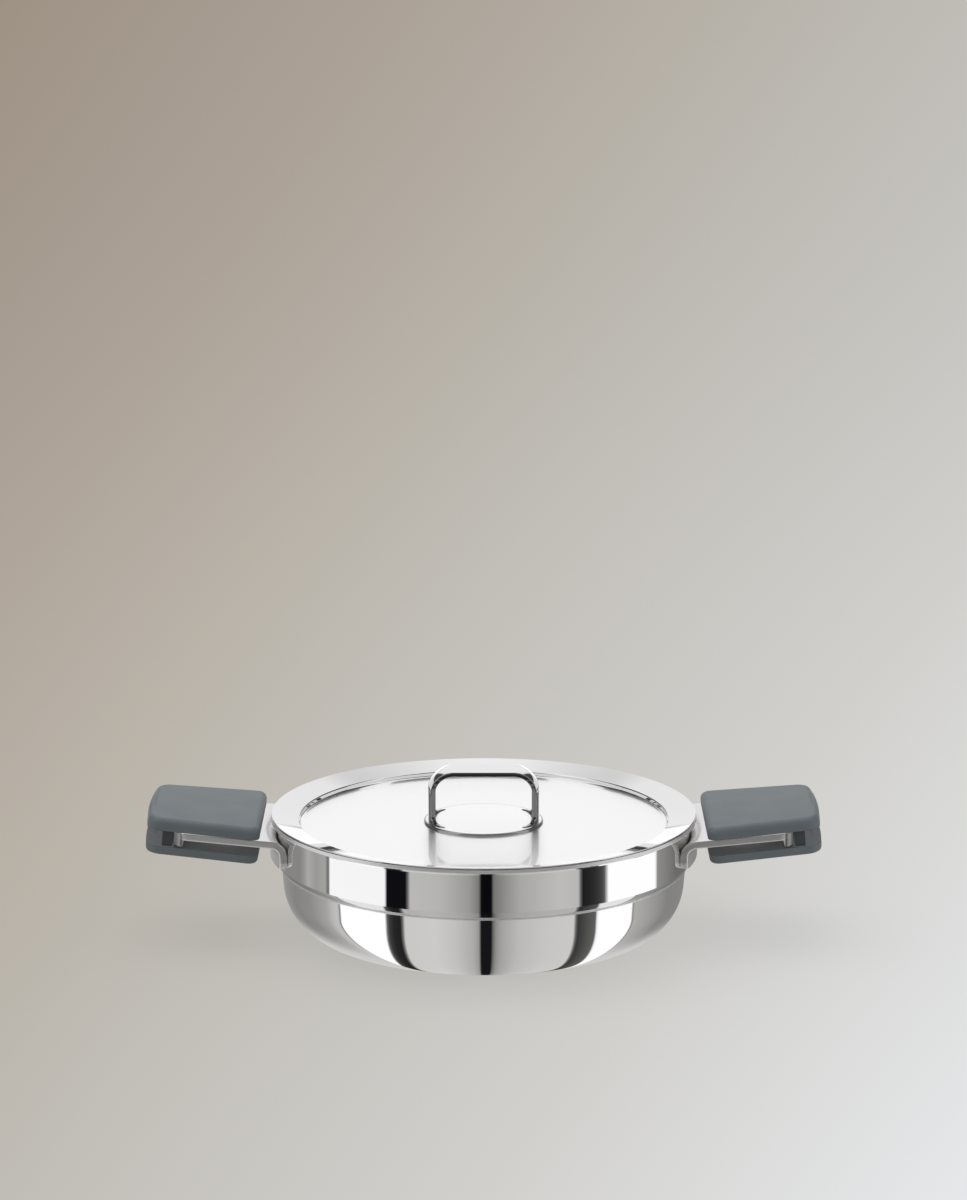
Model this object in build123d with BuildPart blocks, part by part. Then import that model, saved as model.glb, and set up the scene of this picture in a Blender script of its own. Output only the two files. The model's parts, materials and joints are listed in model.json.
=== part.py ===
from build123d import *
from math import atan2, cos, hypot, radians, sin, sqrt, tan
import os

# Braiser: a shallow clad steel pan with a dished steel lid, a strap handle on the lid
# and two steel side handles that carry pull-off silicone grips.
# Millimetres, +Z up, +X to the right handle, origin at the centre of the base on the hob.

# Clad sheet of the pan, from the outside in
outer_steel = 0.5
core_aluminium = 1.6
inner_steel = 0.5
wall = outer_steel + core_aluminium + inner_steel

# Pan outline, measured on its outside
band_radius = 141.0
base_corner_radius = 38.0
lower_wall_height = 48.2
lower_wall_lean = 5.0
ledge_width = 2.8
ledge_rise = 2.5
ledge_foot_radius = 1.0
ledge_crown_radius = 7.0
band_height = 29.45
rim_reach = 4.4
rim_bend_radius = 1.6
seat_angle = 13.2
sheet_edge_round = 0.3

# Lid, pressed from one sheet
lid_sheet = 0.8
lid_seat_gap = 0.3
lid_edge_inset = 0.8
ring_width = 18.4
lid_step_depth = 3.0
lid_step_lean = 0.9
lid_step_radius = 1.0
lid_foot_radius = 1.0

# Round plate under the lid handle
plate_radius = 40.8
plate_thickness = 1.6
plate_edge_round = 0.9

# Lid handle, a strap cut from a round cup shape
strap_radius = 38.1
strap_thickness = 3.3
strap_width = 24.4
strap_height = 35.5
strap_corner_radius = 15.0
strap_edge_round = 0.9
foot_flare_length = 11.0
foot_flare_height = 4.0
foot_toe_height = 0.5

# Side handles, steel plate 5 mm thick
handle_thickness = 5.0
handle_bend_radius = 6.0
handle_reach = 67.7
handle_width = 100.0
handle_taper = 2.6
handle_tilt = 5.2
handle_drop = 4.75
handle_corner_radius = 9.0
handle_edge_round = 1.0
tab_lift = 5.8
tab_corner_radius = 5.0
lip_width = 5.7
lip_clearance = 0.5
window_length = 26.0
window_width = 44.0
window_corner_radius = 8.0

# Silicone grips, one moulding each
grip_length = 78.0
grip_end_bow = 2.7
grip_width = 105.0
grip_taper = 4.5
grip_gap = 0.3
grip_bend_cover = 1.0
grip_slot = 10.7
grip_inner_corner = 7.0
grip_outer_corner = 11.0
upper_pad_edge = 8.0
upper_pad_crown = 1.2
upper_pad_round = 4.5
lower_pad_thickness = 6.3
lower_pad_round = 3.0
web_thickness = 7.0
web_inset = 2.0

# Overrun of every cutting and trimming solid
overrun = 5.0


def parallel(points, depth):
    """Corner points of a run of lines, moved square to the lines, to the left of travel."""
    angles = [atan2(b[1] - a[1], b[0] - a[0]) for a, b in zip(points, points[1:])]
    before = [angles[0]] + angles
    after = angles + [angles[-1]]
    moved = []
    for (x, z), first, second in zip(points, before, after):
        reach = depth / (1 + cos(second - first))
        moved.append((x - reach * (sin(first) + sin(second)), z + reach * (cos(first) + cos(second))))
    return moved


# Pan

seat_slope = tan(radians(seat_angle))
lower_radius = band_radius - ledge_width
band_foot_z = lower_wall_height + ledge_rise
rim_bend_z = band_foot_z + band_height
wall_foot_radius = lower_radius - lower_wall_height * tan(radians(lower_wall_lean))
pan_points = [
    (0, 0),
    (wall_foot_radius, 0),
    (lower_radius, lower_wall_height),
    (band_radius, band_foot_z),
    (band_radius, rim_bend_z),
    (band_radius + rim_reach, rim_bend_z + rim_reach * seat_slope),
]


def pan_radii(depth):
    """Bend radii of the pan's sheet at a depth below its outer face."""
    return [
        base_corner_radius - depth,
        ledge_foot_radius + depth,
        ledge_crown_radius - depth,
        rim_bend_radius + depth,
    ]


def pan_layer(near, far):
    """One layer of the clad sheet, between two depths below the pan's outer face."""
    with BuildPart() as layer:
        with BuildSketch(Plane.XZ):
            with BuildLine():
                outside = FilletPolyline(*parallel(pan_points, near), radius=pan_radii(near))
                inside = FilletPolyline(*parallel(pan_points, far), radius=pan_radii(far))
                Line(outside @ 0, inside @ 0)
                Line(outside @ 1, inside @ 1)
            make_face()
        revolve(axis=Axis.Z)
    return layer.part


# The outer layer has the rim's lower edge, which is rounded
with BuildPart() as pot_outer_layer:
    add(pan_layer(0, outer_steel))
    rim_edge = pot_outer_layer.edges().filter_by(GeomType.CIRCLE).sort_by(SortBy.RADIUS)[-1]
    fillet(rim_edge, radius=sheet_edge_round)

with BuildPart() as pot_core_layer:
    add(pan_layer(outer_steel, outer_steel + core_aluminium))

# The inner layer has the rim's upper edge, which is rounded
with BuildPart() as pot_inner_layer:
    add(pan_layer(outer_steel + core_aluminium, wall))
    rim_edge = pot_inner_layer.edges().filter_by(GeomType.CIRCLE).sort_by(Axis.Z)[-1]
    fillet(rim_edge, radius=sheet_edge_round)


# Lid

seat_edge_radius, seat_edge_z = parallel(pan_points, wall)[-1]
lid_radius = band_radius + rim_reach - lid_edge_inset
step_radius = lid_radius - ring_width


def ring_top_z(radius):
    """Height of the top face of the lid's sloping ring, which lies parallel to the rim's seat."""
    under = seat_edge_z + lid_seat_gap + (radius - seat_edge_radius) * seat_slope
    return under + lid_sheet / cos(radians(seat_angle))


panel_z = ring_top_z(step_radius) - lid_step_depth
lid_points = [
    (0, panel_z),
    (step_radius - lid_step_lean, panel_z),
    (step_radius, ring_top_z(step_radius)),
    (lid_radius, ring_top_z(lid_radius)),
]

with BuildPart() as lid:
    with BuildSketch(Plane.XZ):
        with BuildLine():
            top = FilletPolyline(*lid_points, radius=[lid_foot_radius, lid_step_radius])
            under = FilletPolyline(
                *parallel(lid_points, -lid_sheet),
                radius=[lid_foot_radius + lid_sheet, lid_step_radius - lid_sheet],
            )
            Line(top @ 0, under @ 0)
            Line(top @ 1, under @ 1)
        make_face()
    revolve(axis=Axis.Z)
    rim_edges = lid.edges().filter_by(GeomType.CIRCLE).sort_by(SortBy.RADIUS)[-2:]
    fillet(rim_edges, radius=sheet_edge_round)

with BuildPart() as lid_handle_plate:
    with BuildSketch(Plane.XY.offset(panel_z)):
        Circle(plate_radius)
    extrude(amount=plate_thickness)
    fillet(lid_handle_plate.faces().sort_by(Axis.Z)[-1].edges(), radius=plate_edge_round)


# Lid handle: a cup turned about the upright axis, trimmed to a strap whose feet flare
# along the edge of the round plate

strap_foot_z = panel_z + plate_thickness
strap_top_z = strap_foot_z + strap_height
strap_half_width = strap_width / 2
toe_y = strap_half_width + foot_flare_length

with BuildPart() as lid_handle:
    with BuildSketch(Plane.XZ):
        with BuildLine():
            outside = FilletPolyline(
                (strap_radius, strap_foot_z),
                (strap_radius, strap_top_z),
                (0, strap_top_z),
                radius=[strap_corner_radius],
            )
            inside = FilletPolyline(
                (strap_radius - strap_thickness, strap_foot_z),
                (strap_radius - strap_thickness, strap_top_z - strap_thickness),
                (0, strap_top_z - strap_thickness),
                radius=[strap_corner_radius - strap_thickness],
            )
            Line(outside @ 0, inside @ 0)
            Line(outside @ 1, inside @ 1)
        make_face()
    revolve(axis=Axis.Z)
    with BuildSketch(Plane.YZ):
        with BuildLine():
            Polyline(
                (0, strap_top_z + overrun),
                (strap_half_width, strap_top_z + overrun),
                (strap_half_width, strap_foot_z + foot_toe_height + foot_flare_height),
            )
            EllipticalCenterArc(
                (toe_y, strap_foot_z + foot_toe_height + foot_flare_height),
                foot_flare_length,
                foot_flare_height,
                start_angle=180,
                arc_size=90,
            )
            Polyline(
                (toe_y, strap_foot_z + foot_toe_height),
                (toe_y, strap_foot_z),
                (0, strap_foot_z),
                (0, strap_top_z + overrun),
            )
        make_face()
        mirror(about=Plane.YZ)
    extrude(amount=strap_radius + overrun, both=True, mode=Mode.INTERSECT)
    flare_top = strap_foot_z + foot_toe_height + foot_flare_height
    upper_edges = lid_handle.edges().filter_by(lambda edge: edge.center().Z > flare_top)
    fillet(upper_edges, radius=strap_edge_round)


# Right side handle: a welded tab that follows the band, a bend, and a plate that rises
# outwards and ends in a lip turned down

tilt_slope = tan(radians(handle_tilt))
handle_root_z = rim_bend_z - handle_drop
handle_end = band_radius + handle_reach
half_root = handle_width / 2
half_end = half_root - handle_reach * tan(radians(handle_taper))
plate_limit = hypot(handle_end, half_root) + overrun
grip_start = band_radius + handle_thickness + handle_bend_radius - grip_bend_cover
grip_seat_z = (
    handle_root_z + (hypot(grip_start, half_root) - band_radius) * tilt_slope + grip_gap
)


def below_grip_seat(x, depth):
    """Height of a tilted line at x, this deep below the underside of the upper pad."""
    return grip_seat_z + (x - grip_start) * tilt_slope - depth / cos(radians(handle_tilt))


tab_foot_z = band_foot_z + tab_lift
handle_points = [
    (band_radius, tab_foot_z),
    (band_radius, handle_root_z),
    (plate_limit, handle_root_z + (plate_limit - band_radius) * tilt_slope),
]
half_side = half_end - handle_corner_radius
corner_x = handle_end - handle_corner_radius / 2
lip_start = handle_end - lip_width
lip_outside = handle_end + overrun
lip_top_depth = handle_thickness / 2 + grip_gap
lip_bottom_depth = grip_slot - lip_clearance


def is_rounded(edge):
    """Whether an edge is on the outline of the tab or the plate, and on neither foot."""
    middle = edge.center()
    on_outline = abs(middle.Y) > half_side or middle.X > corner_x
    on_tab_foot = middle.Z < tab_foot_z + tab_corner_radius / 2
    lip_foot_z = below_grip_seat(middle.X, lip_bottom_depth)
    on_lip_foot = middle.X > lip_start and middle.Z < lip_foot_z + handle_edge_round
    return on_outline and not on_tab_foot and not on_lip_foot


with BuildPart() as right_handle:
    with BuildSketch(Plane.XZ):
        with BuildLine():
            top = FilletPolyline(*handle_points, radius=[handle_bend_radius + handle_thickness])
            under = FilletPolyline(
                *parallel(handle_points, -handle_thickness), radius=[handle_bend_radius]
            )
            Line(top @ 0, under @ 0)
            Line(top @ 1, under @ 1)
        make_face()
    revolve(axis=Axis.Z)
    with BuildSketch(Plane.XZ):
        with BuildLine():
            Polyline(
                (lip_start, below_grip_seat(lip_start, lip_top_depth)),
                (lip_outside, below_grip_seat(lip_outside, lip_top_depth)),
                (lip_outside, below_grip_seat(lip_outside, lip_bottom_depth)),
                (lip_start, below_grip_seat(lip_start, lip_bottom_depth)),
                close=True,
            )
        make_face()
    extrude(amount=half_root, both=True)
    with BuildSketch(Plane.XY):
        with BuildLine():
            Polyline(
                (sqrt(band_radius**2 - half_root**2) - overrun, 0),
                (sqrt(band_radius**2 - half_root**2) - overrun, half_root),
                (band_radius, half_root),
            )
            FilletPolyline(
                (band_radius, half_root),
                (handle_end, half_end),
                (handle_end, 0),
                radius=[handle_corner_radius],
            )
            Line((handle_end, 0), (sqrt(band_radius**2 - half_root**2) - overrun, 0))
        make_face()
        mirror(about=Plane.XZ)
    extrude(amount=plate_limit, mode=Mode.INTERSECT)
    fillet(right_handle.edges().filter_by(Axis.X).sort_by(Axis.Z)[:2], radius=tab_corner_radius)
    fillet(right_handle.edges().filter_by(is_rounded), radius=handle_edge_round)
    window_x = (grip_start + lip_start) / 2
    with BuildSketch(Plane.XY):
        with Locations((window_x, 0)):
            RectangleRounded(window_length, window_width, window_corner_radius)
    extrude(amount=plate_limit, mode=Mode.SUBTRACT)

with BuildPart() as left_handle:
    mirror(right_handle.part, about=Plane.YZ)


# Right grip: an upper and a lower pad joined by a web outside the steel's end

tilt = radians(handle_tilt)
grip_plane = Plane(
    origin=(grip_start, 0, grip_seat_z), x_dir=(cos(tilt), 0, sin(tilt)), z_dir=(-sin(tilt), 0, cos(tilt))
)
grip_section = Plane(origin=(grip_start, 0, grip_seat_z), x_dir=(0, 1, 0), z_dir=(cos(tilt), 0, sin(tilt)))
half_grip = grip_width / 2
half_grip_end = half_grip - grip_length * tan(radians(grip_taper))
web_start = (handle_end - grip_start + grip_gap) / cos(tilt)
half_web = half_grip - (web_start + web_thickness) * tan(radians(grip_taper)) - web_inset
pad_up = Axis((0, 0, 0), (-sin(tilt), 0, cos(tilt)))


def pad_outline(plane):
    """Plan of both pads, drawn on a plane."""
    with BuildSketch(plane) as outline:
        with BuildLine():
            Polyline(
                (grip_length - grip_end_bow, -half_grip_end),
                (0, -half_grip),
                (0, half_grip),
                (grip_length - grip_end_bow, half_grip_end),
            )
            ThreePointArc(
                (grip_length - grip_end_bow, half_grip_end),
                (grip_length, 0),
                (grip_length - grip_end_bow, -half_grip_end),
            )
        make_face()
        fillet(outline.vertices().sort_by(Axis.X)[:2], radius=grip_inner_corner)
        fillet(outline.vertices().sort_by(Axis.X)[-2:], radius=grip_outer_corner)
    return outline.sketch


with BuildPart() as upper_pad:
    extrude(pad_outline(grip_plane), amount=upper_pad_edge + upper_pad_crown)
    with BuildSketch(grip_section):
        with BuildLine():
            Polyline(
                (half_grip, upper_pad_edge),
                (half_grip, 0),
                (-half_grip, 0),
                (-half_grip, upper_pad_edge),
            )
            ThreePointArc(
                (-half_grip, upper_pad_edge),
                (0, upper_pad_edge + upper_pad_crown),
                (half_grip, upper_pad_edge),
            )
        make_face()
    extrude(amount=grip_length, mode=Mode.INTERSECT)
    fillet(upper_pad.faces().sort_by(pad_up)[-1].edges(), radius=upper_pad_round)

with BuildPart() as right_grip:
    add(upper_pad.part)
    lower_plane = grip_plane.offset(-grip_slot - lower_pad_thickness)
    extrude(pad_outline(lower_plane), amount=lower_pad_thickness)
    fillet(right_grip.faces().sort_by(pad_up)[0].edges(), radius=lower_pad_round)
    with BuildSketch(grip_plane.offset(-grip_slot)):
        with Locations((web_start + web_thickness / 2, 0)):
            Rectangle(web_thickness, 2 * half_web)
    extrude(amount=grip_slot)

with BuildPart() as left_grip:
    mirror(right_grip.part, about=Plane.YZ)


# Every piece goes to its own file

pieces = {
    "pot_outer_layer": pot_outer_layer,
    "pot_core_layer": pot_core_layer,
    "pot_inner_layer": pot_inner_layer,
    "left_handle": left_handle,
    "right_handle": right_handle,
    "left_grip": left_grip,
    "right_grip": right_grip,
    "lid": lid,
    "lid_handle_plate": lid_handle_plate,
    "lid_handle": lid_handle,
}
os.makedirs("parts", exist_ok=True)
for name, piece in pieces.items():
    piece.part.label = name
    export_step(piece.part, f"parts/{name}.step")
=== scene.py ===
import json
import math

import bmesh
import bpy
import numpy as np
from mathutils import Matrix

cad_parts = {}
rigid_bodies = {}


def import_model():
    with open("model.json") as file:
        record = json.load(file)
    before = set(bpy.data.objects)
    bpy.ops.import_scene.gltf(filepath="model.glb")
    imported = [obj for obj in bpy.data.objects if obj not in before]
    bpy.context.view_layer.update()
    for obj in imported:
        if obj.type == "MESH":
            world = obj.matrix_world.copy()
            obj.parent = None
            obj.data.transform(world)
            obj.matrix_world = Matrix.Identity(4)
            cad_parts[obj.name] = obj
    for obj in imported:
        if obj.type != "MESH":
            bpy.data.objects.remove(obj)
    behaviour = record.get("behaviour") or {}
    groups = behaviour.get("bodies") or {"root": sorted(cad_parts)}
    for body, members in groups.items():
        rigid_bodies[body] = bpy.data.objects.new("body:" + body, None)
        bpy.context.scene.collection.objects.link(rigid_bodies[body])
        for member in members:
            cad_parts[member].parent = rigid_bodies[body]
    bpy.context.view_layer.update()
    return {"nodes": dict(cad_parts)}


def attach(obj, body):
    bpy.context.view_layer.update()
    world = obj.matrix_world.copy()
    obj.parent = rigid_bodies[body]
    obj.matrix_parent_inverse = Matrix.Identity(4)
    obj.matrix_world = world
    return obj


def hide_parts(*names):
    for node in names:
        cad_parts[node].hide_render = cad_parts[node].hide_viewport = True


for leftover in list(bpy.data.objects):
    bpy.data.objects.remove(leftover)
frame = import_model()
nodes = frame["nodes"]

# Camera, well back from the hob with a long lens, looking down about 16 degrees at the pan.
# It aims over the pan, so that the picture has empty paper above it.

camera_aside = -0.0001
camera_distance = 2.695
camera_height = 0.810
aim_down = 12.106
camera_data = bpy.data.cameras.new("studio_camera")
camera_data.sensor_fit = "VERTICAL"
camera_data.sensor_height = 36.0
camera_data.lens = 122.3
camera_data.clip_start = 0.1
camera_data.clip_end = 100.0
camera = bpy.data.objects.new("studio_camera", camera_data)
camera.location = (camera_aside, -camera_distance, camera_height)
camera.rotation_euler = (math.radians(90.0 - aim_down), 0.0, 0.0)
bpy.context.scene.collection.objects.link(camera)
bpy.context.scene.camera = camera
bpy.context.scene.view_settings.view_transform = "Standard"


# Floor, a sweep of paper without a seam, which fills the picture. Its tone is painted light
# and shade, which goes by the direction that the cook sees it in: brownish grey far off to
# the left, and pale and cool near by on the right.


def worked(tree, operation, first, second=None, third=None):
    """The outcome of a Math node in a tree, which is fed by sockets or numbers."""
    node = tree.nodes.new("ShaderNodeMath")
    node.operation = operation
    for socket, value in zip(node.inputs, (first, second, third)):
        if isinstance(value, (int, float)):
            socket.default_value = value
        elif value is not None:
            tree.links.new(value, socket)
    return node.outputs[0]


def eased(tree, value, low, high):
    """A smooth step of a value, from 0 at low to 1 at high."""
    node = tree.nodes.new("ShaderNodeMapRange")
    node.interpolation_type = "SMOOTHSTEP"
    node.inputs["From Min"].default_value = low
    node.inputs["From Max"].default_value = high
    tree.links.new(value, node.inputs["Value"])
    return node.outputs["Result"]


def ramp(tree, value, stops):
    """Colours along a value: (place from 0 to 1, red, green, blue) for each stop."""
    node = tree.nodes.new("ShaderNodeValToRGB")
    for number, (place, red, green, blue) in enumerate(stops):
        if number < 2:
            stop = node.color_ramp.elements[number]
            stop.position = place
        else:
            stop = node.color_ramp.elements.new(place)
        stop.color = (red, green, blue, 1)
    tree.links.new(value, node.inputs["Fac"])
    return node.outputs["Color"]


# Paleness and colour of the paper's tones, the darkest and the palest first
paper_tones = [
    (0.27, 0.352, 0.296, 0.238), (0.755, 0.783, 0.791, 0.807), (0.38, 0.429, 0.376, 0.328),
    (0.45, 0.485, 0.451, 0.397), (0.51, 0.533, 0.515, 0.479), (0.63, 0.631, 0.624, 0.604),
]
darkest, palest = paper_tones[0][0], paper_tones[1][0]
middle_paleness = 0.35
paler_rightward = 1.05
paler_nearby = 0.75


def paper_tone(tree, across, near):
    """The paper's colour, with painted light and shade, which goes by how far across and how near the cook's
    eye sees it.
    """
    middle = worked(tree, "MULTIPLY_ADD", near, paler_nearby, middle_paleness)
    paleness = worked(tree, "MULTIPLY_ADD", across, paler_rightward, middle)
    span = palest - darkest
    share = worked(tree, "DIVIDE", worked(tree, "SUBTRACT", paleness, darkest), span)
    return ramp(tree, share, [((at - darkest) / span, *colour) for at, *colour in paper_tones])


floor_half = 60.0
floor_corners = [
    (-floor_half, -floor_half, 0), (floor_half, -floor_half, 0),
    (floor_half, floor_half, 0), (-floor_half, floor_half, 0),
]
floor_mesh = bpy.data.meshes.new("paper_floor")
floor_mesh.from_pydata(floor_corners, [], [(0, 1, 2, 3)])
floor = bpy.data.objects.new("paper_floor", floor_mesh)
bpy.context.scene.collection.objects.link(floor)
floor.visible_glossy = False

paper = bpy.data.materials.new("warm_paper")
paper.use_nodes = True
tree = paper.node_tree
bsdf = tree.nodes["Principled BSDF"]
bsdf.inputs["Roughness"].default_value = 0.9
bsdf.inputs["Specular IOR Level"].default_value = 0.0
place = tree.nodes.new("ShaderNodeTexCoord")
split = tree.nodes.new("ShaderNodeSeparateXYZ")
tree.links.new(place.outputs["Object"], split.inputs[0])
least_ahead = 0.8
from_cook = worked(tree, "ADD", split.outputs["Y"], camera_distance)
ahead = worked(tree, "MAXIMUM", from_cook, least_ahead)
across = worked(tree, "DIVIDE", split.outputs["X"], ahead)
tone = paper_tone(tree, across, worked(tree, "DIVIDE", camera_height, ahead))
tree.links.new(tone, bsdf.inputs["Base Color"])
# To the eye the paper has some light of its own, which keeps the pan's shadow faint
own_light = 0.8
glow = tree.nodes.new("ShaderNodeEmission")
tree.links.new(tone, glow.inputs["Color"])
eye = tree.nodes.new("ShaderNodeLightPath")
soft = tree.nodes.new("ShaderNodeMixShader")
tree.links.new(worked(tree, "MULTIPLY", eye.outputs["Is Camera Ray"], own_light), soft.inputs[0])
tree.links.new(bsdf.outputs[0], soft.inputs[1])
tree.links.new(glow.outputs[0], soft.inputs[2])
tree.links.new(soft.outputs[0], tree.nodes["Material Output"].inputs["Surface"])
floor_mesh.materials.append(paper)


# Studio, a soft even room light with one large soft lamp from above. Polished steel sees
# rings of white sheets and black flags round the pan, and a white sheet hung behind it.

world = bpy.data.worlds.new("studio")
bpy.context.scene.world = world
world.use_nodes = True
tree = world.node_tree
tree.nodes.clear()
steel_share = 0.87
display_gamma = 2.2


def strength(shown):
    """The light that polished steel shows as a tone from 0 to 255: warm greys and cool blacks."""
    level = (shown / 255) ** display_gamma / steel_share
    return (level, level * 0.99, level * (0.95 + 0.05 * level) + 0.002)


def toned(value, stops):
    """Sheets along a value: (place from 0 to 1, tone) for each stop."""
    return ramp(tree, value, [(place, *strength(shown)) for place, shown in stops])


def ring(turn, reach, stops):
    """Sheets round the pan: (degrees to the right of the camera, tone), from -reach to reach."""
    share = worked(tree, "MULTIPLY_ADD", turn, 90 / math.pi / reach, 0.5)
    return toned(share, [((degrees + reach) / reach / 2, shown) for degrees, shown in stops])


def blended(amount, first, second):
    """Two sockets' or tones' light mixed by an amount."""
    node = tree.nodes.new("ShaderNodeMix")
    node.data_type = "RGBA"
    tree.links.new(amount, node.inputs["Factor"])
    for socket, value in ((node.inputs[6], first), (node.inputs[7], second)):
        if isinstance(value, int):
            socket.default_value = (*strength(value), 1)
        else:
            tree.links.new(value, socket)
    return node.outputs[2]


way = tree.nodes.new("ShaderNodeTexCoord")
split = tree.nodes.new("ShaderNodeSeparateXYZ")
tree.links.new(way.outputs["Generated"], split.inputs[0])
east, north, up = split.outputs["X"], split.outputs["Y"], split.outputs["Z"]
side = worked(tree, "SIGN", east)
azimuth = worked(tree, "ARCTAN2", east, worked(tree, "MULTIPLY", north, -1))

# The turn and lean of the steel's own face, which lies halfway between a sheet and the camera
look_down = math.radians(15.75)
half_north = worked(tree, "SUBTRACT", math.cos(look_down), north)
half_up = worked(tree, "ADD", up, math.sin(look_down))
face_turn = worked(tree, "ABSOLUTE", worked(tree, "ARCTAN2", east, half_north))
north_part = worked(tree, "MULTIPLY", half_north, half_north)
level_part = worked(tree, "MULTIPLY_ADD", east, east, north_part)
lean_part = worked(tree, "MULTIPLY", half_up, half_up)
whole = worked(tree, "ADD", lean_part, level_part)
lean_share = worked(tree, "DIVIDE", lean_part, whole)
lean = worked(tree, "DIVIDE", half_up, worked(tree, "SQRT", whole))
wall_turn = worked(tree, "MULTIPLY", side, face_turn)

# Where the pan's wall turns under, the edge of the white sheets draws in towards the middle,
# and lies a little further out on the right than on the left
wall_edge, wall_edge_shift = math.radians(45.55), math.radians(1.05)
foot_edge, foot_edge_shift = math.radians(27.6), math.radians(5.1)
drawn_in_lean = 0.88
least_still_out = 0.25
edge_margin = math.radians(0.2)
sheet_edge = worked(tree, "MULTIPLY_ADD", side, wall_edge_shift, wall_edge)
inner_turn = worked(tree, "MULTIPLY_ADD", side, foot_edge_shift, foot_edge)
still_out = worked(tree, "SUBTRACT", 1, worked(tree, "DIVIDE", lean_share, drawn_in_lean))
edge_span = worked(tree, "SUBTRACT", sheet_edge, inner_turn)
edge_reach = worked(tree, "MULTIPLY", edge_span, still_out)
edge_turn = worked(tree, "ADD", inner_turn, edge_reach)
beyond = worked(tree, "GREATER_THAN", face_turn, edge_turn)
inside = worked(tree, "MINIMUM", face_turn, worked(tree, "SUBTRACT", sheet_edge, edge_margin))
past_edge = worked(tree, "SUBTRACT", face_turn, edge_turn)
squeeze = worked(tree, "MAXIMUM", still_out, least_still_out)
outside = worked(tree, "ADD", sheet_edge, worked(tree, "DIVIDE", past_edge, squeeze))
step_out = worked(tree, "MULTIPLY", beyond, worked(tree, "SUBTRACT", outside, inside))
foot_turn = worked(tree, "MULTIPLY", side, worked(tree, "ADD", inside, step_out))

# What the pan's upright band shows, what the wall and foot under it show, and the sheets and
# flags that stand at three heights for all the other steel
band_ring = ring(wall_turn, 90, [
    (-90, 200), (-72, 131), (-62, 131), (-59.5, 145), (-57.3, 167), (-53.4, 151),
    (-48.9, 161), (-48.3, 102), (-47.8, 102), (-47.4, 246), (-27.9, 244), (-27.6, 22),
    (-21.2, 22), (-20.8, 184), (-12, 178), (-3.8, 150), (-1.0, 116), (-0.7, 18), (2.5, 18),
    (2.8, 116), (10, 166), (21.5, 187), (27.2, 181), (27.5, 32), (31.5, 46), (33.3, 58),
    (34.5, 74), (35.7, 106), (36.1, 255), (55.4, 255), (55.9, 139), (67.5, 105),
])
foot_ring = ring(foot_turn, 90, [
    (-90, 150), (-69, 128), (-58.6, 138), (-50.8, 160), (-47.3, 187), (-45.3, 187),
    (-45.0, 118), (-44.7, 118), (-44.4, 255), (-28.4, 255), (-28.1, 70), (-26, 42),
    (-23.3, 36), (-22.9, 198), (-14, 201), (-8, 190), (-3, 170), (-1.2, 148), (-0.9, 28),
    (2.6, 28), (2.9, 130), (5, 160), (10, 184), (18, 196), (26.4, 199), (26.8, 50),
    (33.4, 96), (33.8, 255), (46.6, 255), (47.0, 117), (47.6, 170), (65, 128),
])
eye_level_ring = ring(azimuth, 180, [
    (-180, 218), (-62, 218), (-54, 75), (-46, 60), (46, 60), (54, 75), (62, 218), (180, 218),
])
over_eye_ring = ring(azimuth, 180, [
    (-180, 70), (-100, 70), (-96, 212), (96, 212), (100, 70), (180, 70),
])
flag_ring = ring(azimuth, 180, [
    (-180, 70), (-97, 70), (-95, 255), (-50, 255), (-48, 70), (71, 70), (73, 255),
    (98, 255), (100, 70), (180, 70),
])

# The sheet behind the pan, by the sine of the height that it is seen at. Its dark line shows
# on the lid's ring at both sides, and not on the way over the middle
hung_sheet = toned(up, [
    (0.0, 255), (0.9, 236), (0.144, 255), (0.147, 90), (0.158, 90), (0.161, 236),
])
hung_middle = toned(up, [(0.0, 255), (0.9, 236), (0.144, 255), (0.161, 236)])
aside = worked(tree, "ABSOLUTE", east)
line_start, line_full = 0.04, 0.06
hung_sheet = blended(eased(tree, aside, line_start, line_full), hung_middle, hung_sheet)
# High on the sheet, a soft grey fold on both sides of the middle shows at the ring's back
fold_start, fold_full = 0.48, 0.56
folds = toned(aside, [
    (0.0, 245), (1.0, 236), (0.033, 241), (0.065, 226), (0.095, 212), (0.117, 208),
    (0.137, 221), (0.155, 236),
])
hung_sheet = blended(eased(tree, up, fold_start, fold_full), hung_sheet, folds)
below = worked(tree, "MULTIPLY", up, -1)
sheet_foot = toned(below, [(0.0, 255), (1.0, 228), (0.10, 255), (0.135, 228)])
horizon_blur = 0.002
behind = blended(eased(tree, up, -horizon_blur, horizon_blur), sheet_foot, hung_sheet)
back_start, back_full = math.radians(158), math.radians(164)
backness = eased(tree, worked(tree, "ABSOLUTE", azimuth), back_start, back_full)

# Over eye level one ring gives way to the next, and over the top the hung sheet leans in
over_eye_rise = (0.13, 0.165)
flag_rise = (0.32, 0.35)
top_rise, top_depth, top_tone = (0.77, 0.85), (-0.08, 0.05), 240
high = blended(eased(tree, up, *over_eye_rise), eye_level_ring, over_eye_ring)
high = blended(eased(tree, up, *flag_rise), high, flag_ring)
high = blended(backness, high, behind)
over_back = worked(tree, "MULTIPLY", eased(tree, up, *top_rise), eased(tree, north, *top_depth))
high = blended(over_back, high, top_tone)

# Below it, the steel's lean tells the band from the wall and the foot, which turns under
turning_lean, turned_tone = (0.10, 0.55), 198
under_lean, under_tone = (0.82, 0.925), 140
band_lean = (-0.080, -0.066)
low_end = (-0.225, -0.190)
turned_out = worked(tree, "MULTIPLY", beyond, eased(tree, lean_share, *turning_lean))
under = blended(turned_out, foot_ring, turned_tone)
under = blended(eased(tree, lean_share, *under_lean), under, under_tone)
low = blended(eased(tree, lean, *band_lean), under, band_ring)
around = blended(eased(tree, up, *low_end), low, high)

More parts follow.
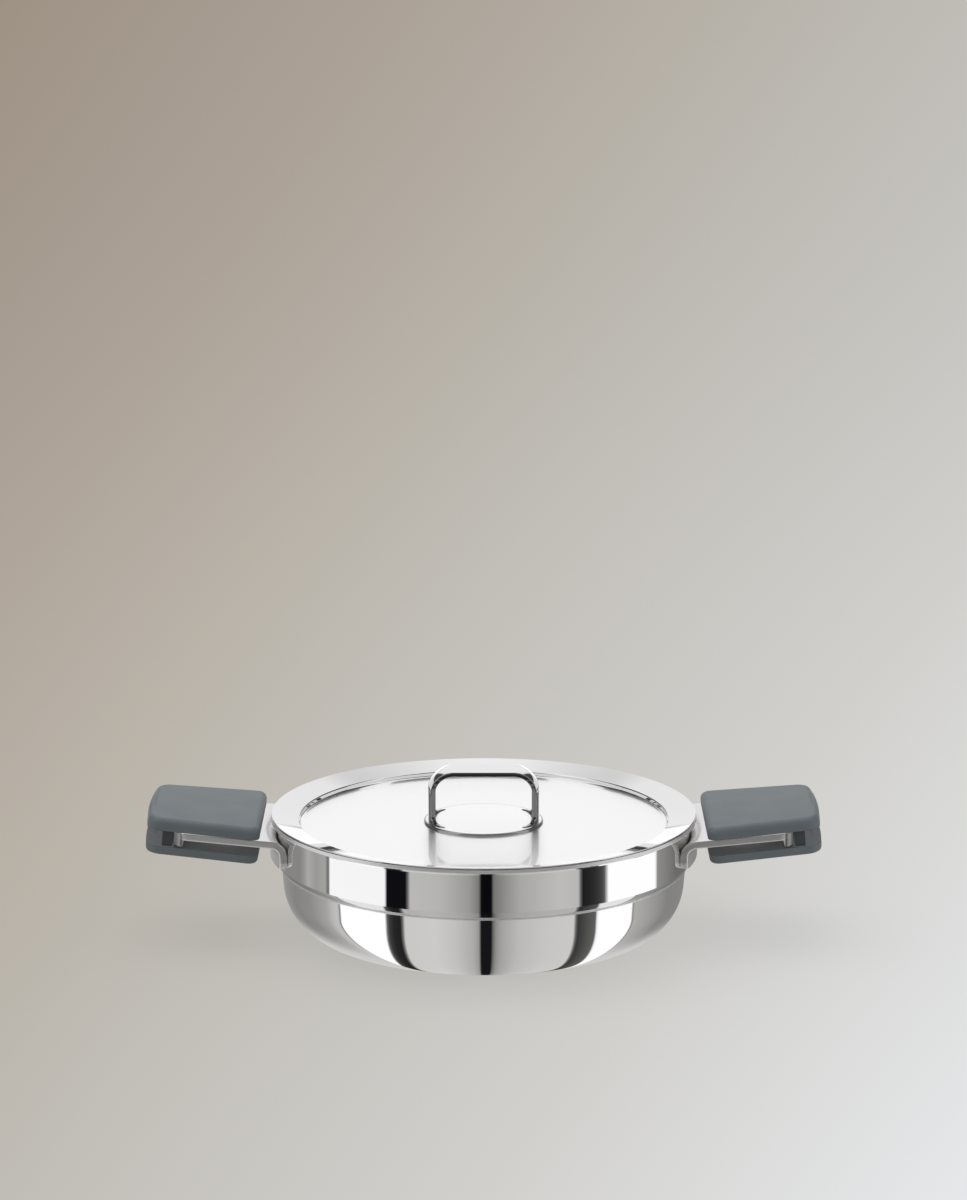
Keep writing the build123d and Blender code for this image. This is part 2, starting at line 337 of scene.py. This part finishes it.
mirrored = tree.nodes.new("ShaderNodeBackground")
tree.links.new(around, mirrored.inputs["Color"])
room = tree.nodes.new("ShaderNodeBackground")
room.inputs["Color"].default_value = (1.0, 0.99, 0.975, 1)
room.inputs["Strength"].default_value = 0.80
# Past the far end of the paper, the eye sees its tone go on, with the same painted light and shade
far_ahead = worked(tree, "MAXIMUM", north, least_ahead / floor_half)
far_tone = paper_tone(tree, worked(tree, "DIVIDE", east, far_ahead), 0)
seen = tree.nodes.new("ShaderNodeBackground")
seen.inputs["Strength"].default_value = 0.96
tree.links.new(far_tone, seen.inputs["Color"])
path = tree.nodes.new("ShaderNodeLightPath")
by_gloss = tree.nodes.new("ShaderNodeMixShader")
tree.links.new(path.outputs["Is Glossy Ray"], by_gloss.inputs[0])
tree.links.new(room.outputs[0], by_gloss.inputs[1])
tree.links.new(mirrored.outputs[0], by_gloss.inputs[2])
by_eye = tree.nodes.new("ShaderNodeMixShader")
tree.links.new(path.outputs["Is Camera Ray"], by_eye.inputs[0])
tree.links.new(by_gloss.outputs[0], by_eye.inputs[1])
tree.links.new(seen.outputs[0], by_eye.inputs[2])
out = tree.nodes.new("ShaderNodeOutputWorld")
tree.links.new(by_eye.outputs[0], out.inputs["Surface"])

lamp_data = bpy.data.lights.new("soft_overhead", "AREA")
lamp_data.shape = "RECTANGLE"
lamp_data.size = 2.4
lamp_data.size_y = 1.8
lamp_data.energy = 22.0
lamp = bpy.data.objects.new("soft_overhead", lamp_data)
lamp.location = (-0.5, 0.4, 2.4)
lamp.rotation_euler = (math.radians(-9), math.radians(-12), 0)
lamp.visible_glossy = False
bpy.context.scene.collection.objects.link(lamp)


# Pan's outer layer, magnetic stainless steel on the outside of a clad sheet with three bonded
# layers. The sheet is pressed into a bowl with a ledge in its wall and a flared rim. It is
# mirror polished, but dull on its cut edge and along the foot of the ledge. The cut edge has
# a painted highlight, and the ledge's foot and the crown over it have painted shade.

millimetre = 0.001
outer_steel = 0.5
core_aluminium = 1.6
wall = 2.6
rim_angle = math.radians(13.2)
rim_slope = math.tan(rim_angle)
rim_width = 4.4
lower_radius = 138.2
lower_height = 48.2
wall_lean = math.radians(5)
wall_foot_radius = lower_radius - lower_height * math.tan(wall_lean)
ledge_height = 50.7
band_radius = 141
band_height = 80.15
pan_corners = [
    (0, 0), (wall_foot_radius, 0), (lower_radius, lower_height), (band_radius, ledge_height),
    (band_radius, band_height), (band_radius + rim_width, band_height + rim_width * rim_slope),
]
pan_bends = [38.0, 1.0, 7.0, 1.6]
bend_sides = [-1, 1, -1, 1]
cut_edge_round = 0.3


def parallel(corners, depth):
    """Corners of a bent line moved square to its runs, to the left of travel."""
    headings = [math.atan2(b[1] - a[1], b[0] - a[0]) for a, b in zip(corners, corners[1:])]
    moved = []
    for (x, z), first, second in zip(corners, headings[:1] + headings, headings + headings[-1:]):
        reach = depth / (1 + math.cos(second - first))
        moved.append((
            x - reach * (math.sin(first) + math.sin(second)),
            z + reach * (math.cos(first) + math.cos(second)),
        ))
    return moved


def bent(corners, radii, step=3.0, guard=0.25):
    """Points along runs with rounded corners, with a point just outside each bend's ends."""
    points = [corners[0]]
    for before, corner, after, radius in zip(corners, corners[1:], corners[2:], radii):
        if radius == 0:
            points.append(corner)
            continue
        a = np.subtract(before, corner)
        b = np.subtract(after, corner)
        a, b = a / np.linalg.norm(a), b / np.linalg.norm(b)
        opening = math.acos(float(np.clip(a @ b, -1, 1)))
        run = radius / math.tan(opening / 2)
        middle = corner + (a + b) / np.linalg.norm(a + b) * radius / math.sin(opening / 2)
        start, end = corner + a * run, corner + b * run
        first = math.atan2(start[1] - middle[1], start[0] - middle[0])
        sweep = math.atan2(end[1] - middle[1], end[0] - middle[0]) - first
        sweep = (sweep + math.pi) % math.tau - math.pi
        count = max(4, math.ceil(abs(math.degrees(sweep)) / step))
        points.append(start + a * guard)
        for k in range(count + 1):
            angle = first + sweep * k / count
            points.append(middle + radius * np.array((math.cos(angle), math.sin(angle))))
        points.append(end + b * guard)
    points.append(corners[-1])
    return [(float(x), float(z)) for x, z in points]


def pan_surface(depth):
    """Outline of the pan's sheet at a depth below its outer face, from the middle to the rim."""
    radii = [radius + side * depth for radius, side in zip(pan_bends, bend_sides)]
    return bent(parallel(pan_corners, depth), radii)


def cut_edge(first, corner, last):
    """The rim's cut edge from one point to another, rounded at a corner."""
    return bent([first, corner, last], [cut_edge_round], step=15, guard=0.02)


def socketed(name, kind, taken, given):
    """A new node group of a kind, with the sockets that it takes and gives by name and type."""
    group = bpy.data.node_groups.new(name, kind)
    for way, sockets in (("INPUT", taken), ("OUTPUT", given)):
        for label, form in sockets.items():
            group.interface.new_socket(label, in_out=way, socket_type="NodeSocket" + form)
    return group


def turned_tree():
    """Geometry Nodes that turn an outline round the upright axis and give it a finish."""
    taken = {
        "Outline": "Geometry", "Steps Round": "Int", "Carrier Radius": "Float", "Finish": "Material"
    }
    group = socketed("turned_shape", "GeometryNodeTree", taken, {"Geometry": "Geometry"})
    start = group.nodes.new("NodeGroupInput")
    line = group.nodes.new("GeometryNodeMeshToCurve")
    circle = group.nodes.new("GeometryNodeCurvePrimitiveCircle")
    sweep = group.nodes.new("GeometryNodeCurveToMesh")
    merge = group.nodes.new("GeometryNodeMergeByDistance")
    merge.inputs["Distance"].default_value = 1e-6
    realize = group.nodes.new("GeometryNodeRealizeInstances")
    paint = group.nodes.new("GeometryNodeSetMaterial")
    end = group.nodes.new("NodeGroupOutput")
    link = group.links.new
    link(start.outputs["Outline"], line.inputs["Mesh"])
    link(start.outputs["Steps Round"], circle.inputs["Resolution"])
    link(start.outputs["Carrier Radius"], circle.inputs["Radius"])
    link(circle.outputs["Curve"], sweep.inputs["Curve"])
    link(line.outputs["Curve"], sweep.inputs["Profile Curve"])
    link(sweep.outputs["Mesh"], merge.inputs["Geometry"])
    link(merge.outputs["Geometry"], realize.inputs["Geometry"])
    link(realize.outputs["Geometry"], paint.inputs["Geometry"])
    link(start.outputs["Finish"], paint.inputs["Material"])
    link(paint.outputs["Geometry"], end.inputs["Geometry"])
    return group


turned = turned_tree()
carrier_radius = 0.5
steps_round = 288
sharp_angle = math.radians(38)


def turned_piece(name, outline, finish, body, node):
    """A closed outline (radius, height), in mm, turned into the piece that stands for a node."""
    points = [(x * millimetre - carrier_radius, -z * millimetre, 0) for x, z in outline]
    mesh = bpy.data.meshes.new(name + "_outline")
    mesh.from_pydata(points, [(k, (k + 1) % len(points)) for k in range(len(points))], [])
    source = bpy.data.objects.new(name + "_outline", mesh)
    bpy.context.scene.collection.objects.link(source)
    modifier = source.modifiers.new("turn", "NODES")
    modifier.node_group = turned
    values = {"Steps Round": steps_round, "Carrier Radius": carrier_radius, "Finish": finish}
    for item in turned.interface.items_tree:
        if item.in_out == "INPUT" and item.name in values:
            modifier[item.identifier] = values[item.name]
    evaluated = source.evaluated_get(bpy.context.evaluated_depsgraph_get())
    shape = bpy.data.meshes.new_from_object(evaluated)
    bpy.data.objects.remove(source)
    shape.name = name
    work = bmesh.new()
    work.from_mesh(shape)
    bmesh.ops.recalc_face_normals(work, faces=work.faces)
    work.to_mesh(shape)
    work.free()
    shape.shade_smooth()
    shape.set_sharp_from_angle(angle=sharp_angle)
    piece = bpy.data.objects.new(name, shape)
    bpy.context.scene.collection.objects.link(piece)
    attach(piece, body)
    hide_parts(node)


def scaled(tree, vector, amount):
    """A colour or a vector, times an amount from a socket or a number."""
    node = tree.nodes.new("ShaderNodeVectorMath")
    node.operation = "SCALE"
    tree.links.new(vector, node.inputs[0])
    if isinstance(amount, float):
        node.inputs["Scale"].default_value = amount
    else:
        tree.links.new(amount, node.inputs["Scale"])
    return node.outputs[0]


def marks_group():
    """Shader nodes for fine tool marks, which vary tone, roughness and height a little."""
    taken = {
        "Vector": "Vector", "Steel Color": "Color", "Base Roughness": "Float",
        "Roughness Spread": "Float", "Mark Scale": "Float",
    }
    given = {"Color": "Color", "Roughness": "Float", "Height": "Float"}
    group = socketed("tool_marks", "ShaderNodeTree", taken, given)
    start = group.nodes.new("NodeGroupInput")
    fine = group.nodes.new("ShaderNodeTexNoise")
    fine.inputs["Detail"].default_value = 3
    broad = group.nodes.new("ShaderNodeTexNoise")
    broad.inputs["Scale"].default_value = 14
    broad.inputs["Detail"].default_value = 2
    end = group.nodes.new("NodeGroupOutput")
    link = group.links.new
    link(start.outputs["Vector"], fine.inputs["Vector"])
    link(start.outputs["Mark Scale"], fine.inputs["Scale"])
    link(start.outputs["Vector"], broad.inputs["Vector"])
    broad_share = 0.6
    both = worked(group, "MULTIPLY_ADD", broad.outputs["Fac"], broad_share, fine.outputs["Fac"])
    centred = worked(group, "SUBTRACT", both, (1 + broad_share) / 2)
    base, spread = start.outputs["Base Roughness"], start.outputs["Roughness Spread"]
    uneven = worked(group, "MULTIPLY_ADD", centred, spread, base)
    shade_spread = 0.05
    shade = worked(group, "MULTIPLY_ADD", broad.outputs["Fac"], shade_spread, 1 - shade_spread / 2)
    least_roughness = 0.01
    link(scaled(group, start.outputs["Steel Color"], shade), end.inputs["Color"])
    link(worked(group, "MAXIMUM", uneven, least_roughness), end.inputs["Roughness"])
    link(fine.outputs["Fac"], end.inputs["Height"])
    return group


tool_marks = marks_group()
share_round = 0.004
# Painted shade along the ledge's foot, and stronger painted shade on the crown over it
ledge_roughness, ledge_shade, crown_shade_factor = 0.38, 0.11, 2.2
blur = 0.7 * millimetre


def metal(name, colour, roughness, spread, scale, bump, satin_and_painted_light=None, stretch=None, coat=0.0, ledge=None):
    """A metal with fine marks, drawn out round the upright axis unless they are stretched.

    satin_and_painted_light is (roughness, painted brightening, inner radius, outer radius in mm)
    of a ring with a duller finish, whose colour is painted lighter by the brightening. coat is the
    share of clear gloss over it. ledge is the heights of a dull line in a wall, with painted
    shade, and of the top of the crown over it, with stronger painted shade.
    """
    material = bpy.data.materials.new(name)
    material.use_nodes = True
    tree = material.node_tree
    bsdf = tree.nodes["Principled BSDF"]
    bsdf.inputs["Metallic"].default_value = 1
    place = tree.nodes.new("ShaderNodeTexCoord")
    flat = tree.nodes.new("ShaderNodeVectorMath")
    flat.operation = "MULTIPLY"
    flat.inputs[1].default_value = (1, 1, 0)
    length = tree.nodes.new("ShaderNodeVectorMath")
    length.operation = "LENGTH"
    tree.links.new(place.outputs["Object"], flat.inputs[0])
    tree.links.new(flat.outputs[0], length.inputs[0])
    radius = length.outputs["Value"]
    marks = tree.nodes.new("ShaderNodeGroup")
    marks.node_tree = tool_marks
    marks.inputs["Steel Color"].default_value = (*colour, 1)
    marks.inputs["Base Roughness"].default_value = roughness
    marks.inputs["Roughness Spread"].default_value = spread
    marks.inputs["Mark Scale"].default_value = scale
    if stretch:
        drawn = tree.nodes.new("ShaderNodeMapping")
        drawn.inputs["Scale"].default_value = stretch
        tree.links.new(place.outputs["Object"], drawn.inputs["Vector"])
        tree.links.new(drawn.outputs[0], marks.inputs["Vector"])
    else:
        # Distance from the axis and height stay fine, and the way round is drawn out
        split = tree.nodes.new("ShaderNodeSeparateXYZ")
        tree.links.new(place.outputs["Object"], split.inputs[0])
        unit = tree.nodes.new("ShaderNodeVectorMath")
        unit.operation = "NORMALIZE"
        tree.links.new(flat.outputs[0], unit.inputs[0])
        joined = tree.nodes.new("ShaderNodeCombineXYZ")
        tree.links.new(radius, joined.inputs["X"])
        tree.links.new(split.outputs["Z"], joined.inputs["Z"])
        total = tree.nodes.new("ShaderNodeVectorMath")
        total.operation = "ADD"
        tree.links.new(joined.outputs[0], total.inputs[0])
        tree.links.new(scaled(tree, unit.outputs[0], share_round), total.inputs[1])
        tree.links.new(total.outputs[0], marks.inputs["Vector"])
    colour_now = marks.outputs["Color"]
    finish = marks.outputs["Roughness"]
    shade = None
    # The ledge's foot is duller and has painted shade, and the crown over it more painted shade
    if ledge:
        foot, dull_top, crown_top = [level * millimetre for level in ledge]
        height = split.outputs["Z"]
        over_foot = eased(tree, height, foot - blur, foot - 0.3 * millimetre)
        over_dull = eased(tree, height, dull_top - blur, dull_top + blur)
        over_crown = eased(tree, height, crown_top - 0.6 * millimetre, crown_top)
        dull_and_painted = worked(tree, "SUBTRACT", over_foot, over_dull)
        crown = worked(tree, "SUBTRACT", over_dull, over_crown)
        finish = worked(tree, "MULTIPLY_ADD", dull_and_painted, ledge_roughness, finish)
        shaded = worked(tree, "MULTIPLY_ADD", crown, crown_shade_factor, dull_and_painted)
        shade = worked(tree, "MULTIPLY_ADD", shaded, -ledge_shade, 1)
    # The satin ring is duller, and its colour is painted lighter, as painted light
    if satin_and_painted_light:
        satin_roughness, painted_brightening, inner, outer = [satin_and_painted_light[0], satin_and_painted_light[1]] + [r * millimetre for r in satin_and_painted_light[2:]]
        edge = 0.4 * millimetre
        dull_and_painted = worked(
            tree, "MULTIPLY", eased(tree, radius, inner - edge, inner),
            worked(tree, "SUBTRACT", 1, eased(tree, radius, outer, outer + edge)),
        )
        finish = worked(tree, "MULTIPLY_ADD", dull_and_painted, satin_roughness - roughness, finish)
        painted_brighter = worked(tree, "MULTIPLY_ADD", dull_and_painted, painted_brightening - 1, 1)
        shade = worked(tree, "MULTIPLY", shade, painted_brighter) if shade else painted_brighter
        if coat:
            tree.links.new(worked(tree, "MULTIPLY", dull_and_painted, coat), bsdf.inputs["Coat Weight"])
            bsdf.inputs["Coat Roughness"].default_value = 0.03
    if shade:
        colour_now = scaled(tree, colour_now, shade)
    tree.links.new(colour_now, bsdf.inputs["Base Color"])
    tree.links.new(finish, bsdf.inputs["Roughness"])
    lift = tree.nodes.new("ShaderNodeBump")
    lift.inputs["Strength"].default_value = bump
    lift.inputs["Distance"].default_value = 0.1 * millimetre
    tree.links.new(marks.outputs["Height"], lift.inputs["Height"])
    tree.links.new(lift.outputs["Normal"], bsdf.inputs["Normal"])
    return material


# Painted highlight on the rim's cut edge, and painted shade at the ledge's foot and crown
wall_steel = metal(
    "wall_steel", (0.87, 0.87, 0.865), roughness=0.015, spread=0.01, scale=900, bump=0.004,
    satin_and_painted_light=(0.5, 1.13, 144.9, 150), ledge=(48.1, 49.9, 53.7),
)
outer_face = pan_surface(0)
core_face = pan_surface(outer_steel)
outer_edge = cut_edge(outer_face[-2], outer_face[-1], core_face[-1])
turned_piece(
    "pot_outer", outer_face[:-2] + outer_edge + core_face[::-1][1:], wall_steel,
    "pot", "pot_outer_layer",
)


# Pan's core, the aluminium between the two steel layers, which spreads the heat. It is
# bonded to both over the whole of its faces, and shows only as a line at the rim's cut edge.

cut_aluminium = metal(
    "cut_aluminium", (0.80, 0.80, 0.81), roughness=0.34, spread=0.1, scale=1500, bump=0.05
)
core_back = pan_surface(outer_steel + core_aluminium)
turned_piece(
    "pot_core", core_face + core_back[::-1], cut_aluminium,
    "pot", "pot_core_layer",
)


# Pan's inner layer, stainless steel bonded over the core, which touches the food. It follows
# the bowl's outside, and has the satin finish of a brush that was turned round in the pan.

turned_satin = metal(
    "turned_satin", (0.74, 0.735, 0.725), roughness=0.27, spread=0.12, scale=2600, bump=0.12
)
inner_face = pan_surface(wall)
inner_edge = cut_edge(core_back[-1], inner_face[-1], inner_face[-2])
turned_piece(
    "pot_inner", core_back[:-1] + inner_edge + inner_face[:-2][::-1], turned_satin,
    "pot", "pot_inner_layer",
)


# Lid, pressed from one thin steel sheet: a sloping ring that lies loose in the flared rim, a
# low step, and a flat panel. The ring is mirror polished, and the panel shines more softly,
# with its colour painted lighter as a painted sheen.

lid_sheet = 0.8
lid_radius = 144.6
ring_width = 18.4
lid_step_depth = 3.0
lid_step_lean = 0.9
lid_step_radius = 1.0
lid_foot_radius = 1.0
lid_seat_gap = 0.3
panel_margin = 1.6
polished = (0.80, 0.80, 0.797)

seat_edge_radius, seat_edge_z = parallel(pan_corners, wall)[-1]
step_radius = lid_radius - ring_width


def ring_top(radius):
    """Height of the top of the lid's ring, which lies parallel to the rim's seat."""
    under = seat_edge_z + lid_seat_gap + (radius - seat_edge_radius) * rim_slope
    return under + lid_sheet / math.cos(rim_angle)


panel_z = ring_top(step_radius) - lid_step_depth
lid_corners = [
    (0, panel_z), (step_radius - lid_step_lean, panel_z),
    (step_radius, ring_top(step_radius)), (lid_radius, ring_top(lid_radius)),
]
lid_bends = [
    lid_foot_radius, lid_step_radius, cut_edge_round, cut_edge_round,
    lid_step_radius - lid_sheet, lid_foot_radius + lid_sheet,
]
lid_under = parallel(lid_corners, -lid_sheet)
lid_outline = bent(lid_corners + lid_under[::-1], lid_bends, step=4.0, guard=0.08)
lid_steel = metal(
    "lid_steel", polished, roughness=0.03, spread=0.02, scale=900, bump=0.006,
    satin_and_painted_light=(0.30, 1.2, -1, step_radius - panel_margin), coat=1.0,
)
turned_piece("lid_sheet", lid_outline, lid_steel, "lid", "lid")


# Round plate under the lid handle, a steel disc with a rounded and polished edge. The
# handle is welded to it, and it is welded to the middle of the lid. Its face is painted
# lighter, and its edge and a thin band inside it keep a dark colour, a painted dark reflection.

plate_radius = 40.8
plate_thickness = 1.6
plate_edge_round = 0.9
plate_dark_band = 0.6
plate_top = panel_z + plate_thickness
plate_corners = [(0, panel_z), (plate_radius, panel_z), (plate_radius, plate_top), (0, plate_top)]
plate_steel = metal(
    "plate_steel", (0.36, 0.36, 0.359), roughness=0.03, spread=0.02, scale=900, bump=0.006,
    satin_and_painted_light=(0.30, 2.7, -1, plate_radius - plate_edge_round - plate_dark_band), coat=1.0,
)
turned_piece(
    "lid_handle_disc", bent(plate_corners, [0, plate_edge_round], step=6.0, guard=0.06), plate_steel,
    "lid", "lid_handle_plate",
)


# Lid handle, a flat steel strap bent to a bow, with feet that flare along the disc's edge
# and are welded to it. Its faces are polished, and its cut edges are painted darker, a
# painted dark reflection.

strap_half_width = 12.2 * millimetre
strap_edge = 0.4 * millimetre
half_blur = 0.3 * millimetre


def darkened(material, axis, distance, share):
    """Paint a metal darker where it lies further out along an axis than a distance, to a share: painted shade.
    """
    tree = material.node_tree
    base = tree.nodes["Principled BSDF"].inputs["Base Color"]
    place = tree.nodes.new("ShaderNodeTexCoord")
    split = tree.nodes.new("ShaderNodeSeparateXYZ")
    tree.links.new(place.outputs["Object"], split.inputs[0])
    out = worked(tree, "ABSOLUTE", split.outputs[axis])
    dark = eased(tree, out, distance - half_blur, distance + half_blur)
    kept = worked(tree, "MULTIPLY_ADD", dark, share - 1, 1)
    tree.links.new(scaled(tree, base.links[0].from_socket, kept), base)


strap_steel = metal(
    "strap_steel", polished, roughness=0.03, spread=0.02, scale=900, bump=0.006, stretch=(1, 0.1, 1)
)
darkened(strap_steel, "Y", strap_half_width - strap_edge, share=0.38)
nodes["lid_handle"].data.materials.clear()
nodes["lid_handle"].data.materials.append(strap_steel)


# Side handles, two steel plates about 5 mm thick, each with a tab that is welded to the
# pan's wall, a bend, and a lip turned down at its outer end. They are brushed along, and
# the lip is painted darker, a painted dark reflection of the grip round it.

lip_start = 203 * millimetre
brushed_plate = metal(
    "brushed_plate", (0.80, 0.795, 0.785), roughness=0.34, spread=0.10, scale=500, bump=0.08,
    stretch=(0.05, 1, 1),
)
darkened(brushed_plate, "X", lip_start, share=0.35)
for side in ("left", "right"):
    handle = nodes[side + "_handle"]
    handle.data.materials.clear()
    handle.data.materials.append(brushed_plate)


# Side grips, one matt silicone moulding on each side handle, with an upper and a lower pad
# and a web that joins them outside the handle's lip. They are pushed on from the outer end,
# and pull off again.

silicone = bpy.data.materials.new("slate_silicone")
silicone.use_nodes = True
tree = silicone.node_tree
bsdf = tree.nodes["Principled BSDF"]
bsdf.inputs["Roughness"].default_value = 0.5
place = tree.nodes.new("ShaderNodeTexCoord")
cloud = tree.nodes.new("ShaderNodeTexNoise")
cloud.inputs["Scale"].default_value = 45
cloud.inputs["Detail"].default_value = 4
grain = tree.nodes.new("ShaderNodeTexNoise")
grain.inputs["Scale"].default_value = 2600
grain.inputs["Detail"].default_value = 2
tree.links.new(place.outputs["Object"], cloud.inputs["Vector"])
tree.links.new(place.outputs["Object"], grain.inputs["Vector"])
tone = ramp(tree, cloud.outputs["Fac"], [(0.35, 0.100, 0.123, 0.136), (0.65, 0.114, 0.138, 0.150)])
split = tree.nodes.new("ShaderNodeSeparateXYZ")
tree.links.new(place.outputs["Object"], split.inputs[0])
outward = worked(tree, "ABSOLUTE", split.outputs["X"])

# The slot's faces have painted shade, darker than the pads outside. The slot rises outwards with the plate
seat_start = 151 * millimetre
seat_height = 77.34 * millimetre
seat_slope = math.tan(math.radians(5.2))
slot_depth = 10.75 * millimetre
slot_blur = 0.4 * millimetre
slot_shade = 0.62
rise = worked(tree, "MULTIPLY", worked(tree, "SUBTRACT", outward, seat_start), seat_slope)
over_start = worked(tree, "SUBTRACT", split.outputs["Z"], seat_height)
over_seat = worked(tree, "SUBTRACT", over_start, rise)
over_slot_foot = eased(tree, over_seat, -slot_depth - slot_blur, -slot_depth)
over_slot = eased(tree, over_seat, -slot_blur / 4, slot_blur)
in_slot = worked(tree, "SUBTRACT", over_slot_foot, over_slot)
shade = worked(tree, "MULTIPLY_ADD", in_slot, -slot_shade, 1)
tree.links.new(scaled(tree, tone, shade), bsdf.inputs["Base Color"])

# A fine raised line near each pad's outer end, from the back to the front third
line_place = 223.5 * millimetre
line_core, line_edge = 0.1 * millimetre, 0.6 * millimetre
line_front = (-16 * millimetre, -14 * millimetre)
line_height, grain_height = 0.7, 0.04
from_line = worked(tree, "ABSOLUTE", worked(tree, "SUBTRACT", outward, line_place))
on_line = worked(tree, "SUBTRACT", 1, eased(tree, from_line, line_core, line_edge))
on_line = worked(tree, "MULTIPLY", on_line, eased(tree, split.outputs["Y"], *line_front))
fine_grain = worked(tree, "MULTIPLY", grain.outputs["Fac"], grain_height)
lift = tree.nodes.new("ShaderNodeBump")
lift.inputs["Strength"].default_value = 0.8
lift.inputs["Distance"].default_value = 0.5 * millimetre
raised = worked(tree, "MULTIPLY_ADD", on_line, line_height, fine_grain)
tree.links.new(raised, lift.inputs["Height"])
tree.links.new(lift.outputs["Normal"], bsdf.inputs["Normal"])
# Polished steel doesn't show the grips, as the studio's sheets hold all that it shows there
for side in ("left", "right"):
    grip = nodes[side + "_grip"]
    grip.visible_glossy = False
    grip.data.materials.clear()
    grip.data.materials.append(silicone)
